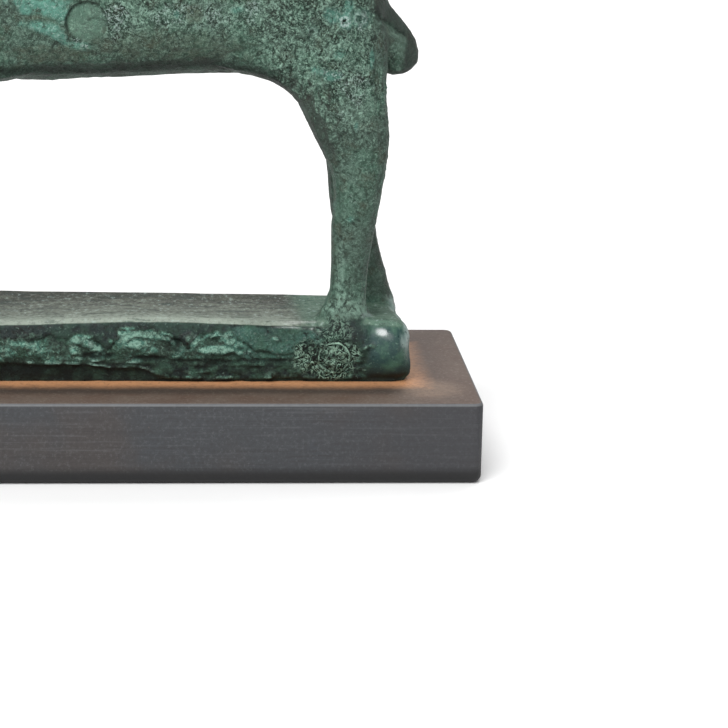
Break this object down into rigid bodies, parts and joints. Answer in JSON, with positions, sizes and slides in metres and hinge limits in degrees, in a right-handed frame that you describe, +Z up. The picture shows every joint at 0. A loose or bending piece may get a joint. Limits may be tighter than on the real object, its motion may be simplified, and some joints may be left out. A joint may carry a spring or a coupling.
{
  "type": "cast deer figure on a plinth",
  "caption": "Small bronze stag standing on a slab cast in one with it, fixed on a rectangular steel display plinth.",
  "frame": {"origin": "centre of the plinth's underside", "axes": "+Z up, +X along the plinth towards the animal's tail, +Y towards the side of the animal that faces away from the pictured one"},
  "size_m": [0.1372, 0.06, 0.1581],
  "materials": {
    "bronze": "green patina, pitted and granular corrosion",
    "steel": "dark blue-grey faces with a rust-brown, speckled top"
  },
  "bodies": {
    "root": {"deer_figure": "bronze", "display_plinth": "steel"}
  },
  "joints": []
}
